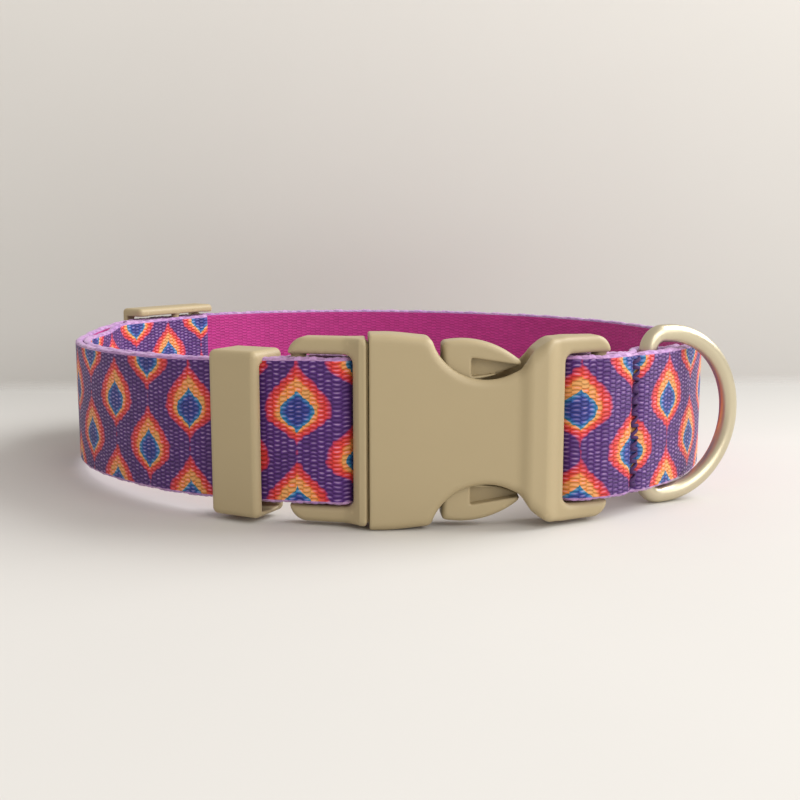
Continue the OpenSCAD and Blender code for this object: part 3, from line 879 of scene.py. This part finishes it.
def cross_section():
    """Points round the webbing's section: across, out from the middle, and the material of the
    face that follows each: 0 printed, 1 plain, 2 edge."""
    w, out = WEB_HALF - EDGE_ROUND, WEB_T / 2
    across = np.linspace(-w, w, 21)
    edge = [(EDGE_ROUND * c, out * s) for c, s in map(unit, np.linspace(90, -90, 7)[1:-1])]
    rows = [(a, out, 0) for a in across[:-1]] + [(w, out, 2)]
    rows += [(w + a, b, 2) for a, b in edge]
    rows += [(a, -out, 1) for a in across[:0:-1]] + [(-w, -out, 2)]
    rows += [(-w - a, -b, 2) for a, b in edge]
    return np.array(rows)


def strap_piece(name, line, s0, s1, materials):
    """One length of the strap as a closed mesh, with a map of millimetres along and across."""
    plan, heights, s, places = line
    row_step, probe = 0.32, 0.15
    count = int((s1 - s0) / row_step) + 1
    at = np.linspace(s0, s1, count)
    x, y, z = (np.interp(at, s, v)[:, None] for v in (*plan.T, heights))
    dx, dy = (np.interp(at + probe, s, v) - np.interp(at - probe, s, v) for v in plan.T)
    size = np.hypot(dx, dy)
    out_x, out_y = (dy / size)[:, None], (-dx / size)[:, None]
    across, out, kind = cross_section().T
    # the bound edge's loops and slow waves, and the dents that the stitches pull in
    edge = np.clip((np.abs(across) - 11.9) / 0.6, 0, 1)
    loops = 0.13 * (np.abs(np.sin(math.pi * at / EDGE_LOOP)) - 0.5)
    waves = 0.07 * np.sin(at * 0.83) + 0.05 * np.sin(at * 1.71 + 1.0)
    rise = (loops + waves)[:, None] * edge * np.sign(across)
    swell = 0.16 * (np.abs(np.sin(math.pi * at / EDGE_LOOP + 0.6)) - 0.5)
    swell = 1 + swell[:, None] * (np.abs(across) > 12)
    pull = np.zeros(count)
    for place, depth in ((TACK_1_S, 0.75), (TACK_2_S, 0.08)):
        pull += depth * np.exp(-((at - places["socket_leave"] - place) / 1.2) ** 2)
    offset = out * swell - pull[:, None] * (out > 0)
    points = np.stack([x + out_x * offset, y + out_y * offset, z + across + rise], -1)
    n = len(across)
    total = count * n
    ends = [list(range(total, total + n))[::-1], list(range(total + n, total + 2 * n))]
    capped = np.concatenate([points.reshape(-1, 3), points[0], points[-1]])
    faces = tube_faces(count, n)[:, [0, 3, 2, 1]].tolist() + ends
    kinds = np.concatenate([np.tile(kind, count - 1), [2, 2]])
    piece = add_mesh(name, capped, faces, materials, kinds)
    mesh = piece.data
    uv = mesh.uv_layers.new(name="strap")
    corner = np.zeros(len(mesh.loops), int)
    mesh.loops.foreach_get("vertex_index", corner)
    flat = np.column_stack([np.repeat(np.append(at, at[[0, -1]]), n), np.tile(across, count + 2)])
    uv.data.foreach_set("uv", flat[corner].astype(np.float32).ravel())
    mesh.update()
    return piece


def stitches(name, centre, radius, angle, height, count, side, material, seed):
    """A bar tack on one face: short slanting stitches that dive into the webbing at both ends.
    side is 1 on an outer face and -1 on an inner one."""
    rng = np.random.default_rng(seed)
    sides, rings = 8, 9
    top = WEB_HALF - TACK_MARGIN
    share = np.linspace(-1, 1, rings)[:, None]
    around = np.arange(sides) / sides * 2 * math.pi
    lift = STITCH_LIFT * np.sqrt(1 - share ** 2) - STITCH_DIVE
    r = radius + side * lift + THREAD_ACROSS * np.cos(around)
    first = list(range(sides))
    last = [(rings - 1) * sides + m for m in first][::-1]
    stitch = tube_faces(rings, sides).tolist() + [first, last]
    points, faces = [], []
    for row in range(count):
        z = -top + 2 * top * row / (count - 1) + rng.uniform(-0.12, 0.12)
        half = STITCH_HALF + rng.uniform(-0.18, 0.18)
        slant = (0.45 if row % 2 else -0.15) + rng.uniform(-0.15, 0.15)
        lean = rng.uniform(-0.12, 0.12)
        a = math.radians(angle) + (share * half + lean) / radius
        up = z + height + slant * share + THREAD_UP * np.sin(around)
        points.append(np.stack([centre[0] + r * np.cos(a), centre[1] + r * np.sin(a), up], -1))
        faces += [[row * rings * sides + m for m in face] for face in stitch]
    return add_mesh(name, np.concatenate(points).reshape(-1, 3), faces, [material])


# ---------------------------------------------------------------- operators

class COLLAR_OT_stage(bpy.types.Operator):
    """Adds the floor, the backdrop, the lights and the camera"""
    bl_idname = "collar.stage"
    bl_label = "Stage"

    def execute(self, context):
        scene = context.scene
        colour = tuple(scene.collar_colours.floor)
        side, top, foot = 3, 2, -0.02
        corners = [(-side, -side, 0), (side, -side, 0), (side, side, 0), (-side, side, 0)]
        floor = stage_sheet("floor", colour, corners)
        corners = [(x, WALL_Y, z) for x, z in
                   ((-side, foot), (side, foot), (side, top), (-side, top))]
        wall = stage_sheet("backdrop", scaled(colour, 1.2), corners)
        wall.visible_shadow = False
        wall.visible_diffuse = False
        wall.visible_glossy = False
        one_sided(wall.data.materials[0])
        scene.world = bpy.data.worlds.new("studio")
        scene.world.use_nodes = True
        sky = scene.world.node_tree.nodes["Background"]
        sky.inputs["Color"].default_value = (1.0, 0.945, 0.885, 1.0)
        sky.inputs["Strength"].default_value = 0.58
        add_lamp("window", (0.95, 0.22, 0.78), 0.8, 15.5, (1.0, 0.995, 0.99))
        add_lamp("fill", (0.50, -0.62, 0.42), 0.6, 3.4, (1.0, 0.985, 0.97))
        camera = bpy.data.cameras.new("camera")
        camera.lens = 49.5
        camera.sensor_width = 36
        camera.clip_start = 0.01
        look_down, turn_right = 8.73, 3.3
        scene.camera = add_object("camera", camera)
        scene.camera.location = (-0.00996, -0.2416, 0.0497)
        scene.camera.rotation_euler = (math.radians(90 - look_down), 0, math.radians(-turn_right))
        scene.view_settings.view_transform = "Standard"
        return {"FINISHED"}


def stage_sheet(name, colour, corners):
    """A plain sheet with a little mottling, for the floor or the backdrop. Both get painted
    shade that darkens them softly where they meet."""
    mesh = bpy.data.meshes.new(name)
    mesh.from_pydata(corners, [], [(0, 1, 2, 3)])
    material, n, shader = new_material(name, Roughness=0.8, Specular_IOR_Level=0.2)
    fade_floor, fade_wall, join_shade_by = 0.09, 0.12, 0.9
    place = n.new("ShaderNodeTexCoord").outputs["Object"]
    cloud = n.noise(place, 9.0, 4.0, 0.55)
    _, depth, height = n.split(place)
    far = n.math("DIVIDE", n.math("SUBTRACT", WALL_Y, depth), fade_floor, clamp=True)
    high = n.math("DIVIDE", height, fade_wall, clamp=True)
    # painted shade where the floor and the backdrop meet, fading out away from the join
    join_shade_mask = n.math("MULTIPLY", n.math("SUBTRACT", 1.0, far), n.math("SUBTRACT", 1.0, high))
    shade = n.math("MULTIPLY", join_shade_mask, join_shade_by)
    mottled = n.mix(cloud, scaled(colour, 0.93), colour)
    # the painted shade darkens the mottled colour towards three quarters of it
    n.put(n.mix(shade, mottled, scaled(colour, 0.74)), shader.inputs["Base Color"])
    mesh.materials.append(material)
    return add_object(name, mesh)


def one_sided(material):
    """Shows a backdrop from the front only, and fades it out just above the floor."""
    n = Nodes(material.node_tree)
    fade_from, fade_over = 0.0005, 0.004
    shader = material.node_tree.nodes["Principled BSDF"]
    output = material.node_tree.nodes["Material Output"]
    back = n.new("ShaderNodeNewGeometry").outputs["Backfacing"]
    height = n.split(n.new("ShaderNodeTexCoord").outputs["Object"])[2]
    fade = n.math("DIVIDE", n.math("SUBTRACT", height, fade_from), fade_over, clamp=True)
    shown = n.math("MULTIPLY", n.math("SUBTRACT", 1.0, back), fade)
    mixed = n.new("ShaderNodeMixShader")
    n.put(shown, mixed.inputs[0])
    n.put(n.new("ShaderNodeBsdfTransparent").outputs[0], mixed.inputs[1])
    n.put(shader.outputs[0], mixed.inputs[2])
    n.put(mixed.outputs[0], output.inputs["Surface"])


def add_lamp(name, place, size, power, colour):
    """A square soft light that faces the collar."""
    lamp = bpy.data.lights.new(name, "AREA")
    lamp.size = size
    lamp.energy = power
    lamp.color = colour
    holder = add_object(name, lamp)
    holder.location = place
    holder.rotation_euler = (-Vector(place)).to_track_quat("-Z", "Y").to_euler()


def plastic(context):
    """The material that all the moulded pieces share."""
    return shared_material("satin_plastic", lambda: plastic_material(context.scene.collar_colours))


class COLLAR_OT_buckle(bpy.types.Operator):
    """Moulds the buckle: socket, slotted plug and its two sprung prongs"""
    bl_idname = "collar.buckle"
    bl_label = "Buckle"

    def execute(self, context):
        material = plastic(context)
        shape = surface(socket_distance, (-0.5, -0.5, -17), (42.5, 13.5, 17), GRID)
        socket = add_mesh("socket", *shape, [material])
        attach(socket, "root")
        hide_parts("socket_shell")
        shape = surface(plug_distance, (-14.5, -0.5, -16.5), (21.5, 12.0, 16.5), GRID)
        plug = add_mesh("plug", *shape, [material])
        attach(plug, "plug")
        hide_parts("plug_frame")
        points, faces = surface(prong_distance, (-0.5, 1.0, 6), (26, 7.6, 16), FINE_GRID)
        for side, shape in (("upper", (points, faces)), ("lower", mirrored(points, faces))):
            prong = add_mesh("finger_prong_" + side, *shape, [material])
            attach(prong, "prong_" + side)
            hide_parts("prong_" + side)
        return {"FINISHED"}


class COLLAR_OT_fittings(bpy.types.Operator):
    """Moulds the keeper loop and the three-bar slider"""
    bl_idname = "collar.fittings"
    bl_label = "Keeper and Slider"

    def execute(self, context):
        material = plastic(context)
        for name, distance, body, node in (
                ("keeper_band", keeper_distance, "keeper", "keeper_loop"),
                ("three_bar_slider", slider_distance, "slider", "slider_frame")):
            low, high = (np.array(corner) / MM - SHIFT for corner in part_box(node))
            piece = add_mesh(name, *surface(distance, low, high, GRID), [material])
            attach(piece, body)
            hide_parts(node)
        return {"FINISHED"}


class COLLAR_OT_d_ring(bpy.types.Operator):
    """Bends the D-ring from round wire"""
    bl_idname = "collar.d_ring"
    bl_label = "D-Ring"

    def execute(self, context):
        material = shared_material(
            "satin_metal", lambda: metal_material(context.scene.collar_colours))
        ring = add_mesh("lead_ring", *wire_ring(*d_ring_path(), WIRE_R, 32), [material])
        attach(ring, "d_ring")
        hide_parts("d_ring")
        return {"FINISHED"}


class COLLAR_OT_webbing(bpy.types.Operator):
    """Weaves the strap in three lengths, printed outside and plain inside"""
    bl_idname = "collar.webbing"
    bl_label = "Webbing"

    def execute(self, context):
        sizes, colours = context.scene.collar_sizes, context.scene.collar_colours
        line = strap_line()
        places = line[3]
        # the print's first and last columns are set by the buckle, with whole periods between
        start = places["socket_leave"] - 5.1
        span = places["plug_leave"] + 0.8 - start
        period = span / round(span / PRINT_PERIOD)
        edge_row = 0.9 * MM
        materials = [
            printed_material(sizes, colours, period),
            plain_material("plain_webbing", tuple(colours.lining), srgb(205, 60, 150),
                           sizes.weave_row, sizes.weave_float, 0.18 * MM),
            plain_material("webbing_edge", srgb(150, 95, 180), srgb(236, 196, 226),
                           edge_row, sizes.weave_float, 0.25 * MM)]
        cuts = (0.0, places["left"], places["inner_left"] + 4.0, places["end"])
        names = ("strap_socket_side", "strap_plug_side", "strap_slider_side")
        root, left, tail = (strap_piece(name, line, s0, s1, materials)
                            for name, s0, s1 in zip(names, cuts, cuts[1:]))
        for strap in (root, left, tail):
            move_print(strap, start)
        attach(root, "root")
        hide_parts("web_socket_fold", "web_ring_outer", "web_ring_inner", "web_right",
                    "web_back")
        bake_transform(left)
        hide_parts("web_left", "web_bend_outer", "web_flank_outer", "web_plug_fold",
                    "web_flank_inner", "web_bend_inner")
        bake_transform(tail)
        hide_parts("web_slider_tail", "web_slider_fold")
        return {"FINISHED"}


def move_print(strap, start):
    """Starts the print's columns at this length along the strap."""
    uv = strap.data.uv_layers["strap"].data
    values = np.zeros(len(uv) * 2, np.float32)
    uv.foreach_get("uv", values)
    values[0::2] -= start
    values[1::2] -= PRINT_RISE
    uv.foreach_set("uv", values)


class COLLAR_OT_tacks(bpy.types.Operator):
    """Sews the bar tacks that close the strap's folds"""
    bl_idname = "collar.tacks"
    bl_label = "Bar Tacks"

    def execute(self, context):
        material = shared_material(
            "thread", lambda: thread_material(context.scene.collar_colours))
        count = context.scene.collar_sizes.stitch_count
        outer, inner = RIGHT_R - 0.4, RIGHT_R - 2 * WEB_T - LAYER_GAP
        # (name, radius and angle on the right arc, outer or inner face, seed)
        front, back, ring = (
            stitches(name, RIGHT_C, radius, angle, 0.0, count, side, material, seed)
            for name, radius, angle, side, seed in (
                ("tack_socket_front", outer, right_a(TACK_1_S), 1, 3),
                ("tack_socket_back", inner, right_a(TACK_1_S), -1, 4),
                ("tack_ring_back", inner, right_a(TACK_2_S), -1, 6)))
        for piece in (front, back, ring):
            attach(piece, "root")
        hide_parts("tack_socket")
        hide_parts("tack_ring")
        sewn_face, drop = 51.05, -0.9
        sewn = stitches("tack_slider_back", LEFT_C, sewn_face, SLIDER_A + SLIDER_TACK_TURN, drop,
                        count, -1, material, 9)
        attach(sewn, "slider")
        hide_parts("tack_slider")
        return {"FINISHED"}


class COLLAR_PT_panel(bpy.types.Panel):
    """Lists the collar's sizes, colours and pieces"""
    bl_label = "Webbing Collar"
    bl_space_type = "VIEW_3D"
    bl_region_type = "UI"
    bl_category = "Collar"

    def draw(self, context):
        """Draws the settings and a button for each piece."""
        layout = self.layout
        for group in (context.scene.collar_sizes, context.scene.collar_colours):
            for name in type(group).__annotations__:
                layout.prop(group, name)
        for operator in OPERATORS:
            layout.operator(operator.bl_idname)


OPERATORS = (COLLAR_OT_buckle, COLLAR_OT_fittings, COLLAR_OT_d_ring, COLLAR_OT_webbing,
             COLLAR_OT_tacks, COLLAR_OT_stage)
CLASSES = (CollarSizes, CollarColours, *OPERATORS, COLLAR_PT_panel)


def register():
    """Adds the settings, the operators and the panel."""
    for cls in CLASSES:
        bpy.utils.register_class(cls)
    bpy.types.Scene.collar_sizes = PointerProperty(type=CollarSizes)
    bpy.types.Scene.collar_colours = PointerProperty(type=CollarColours)


def unregister():
    """Takes away what register added."""
    del bpy.types.Scene.collar_colours
    del bpy.types.Scene.collar_sizes
    for cls in reversed(CLASSES):
        bpy.utils.unregister_class(cls)


def main():
    """Builds the collar and its stage."""
    register()
    bpy.ops.collar.buckle()
    bpy.ops.collar.fittings()
    bpy.ops.collar.d_ring()
    bpy.ops.collar.webbing()
    bpy.ops.collar.tacks()
    bpy.ops.collar.stage()


if __name__ == "__main__":
    main()
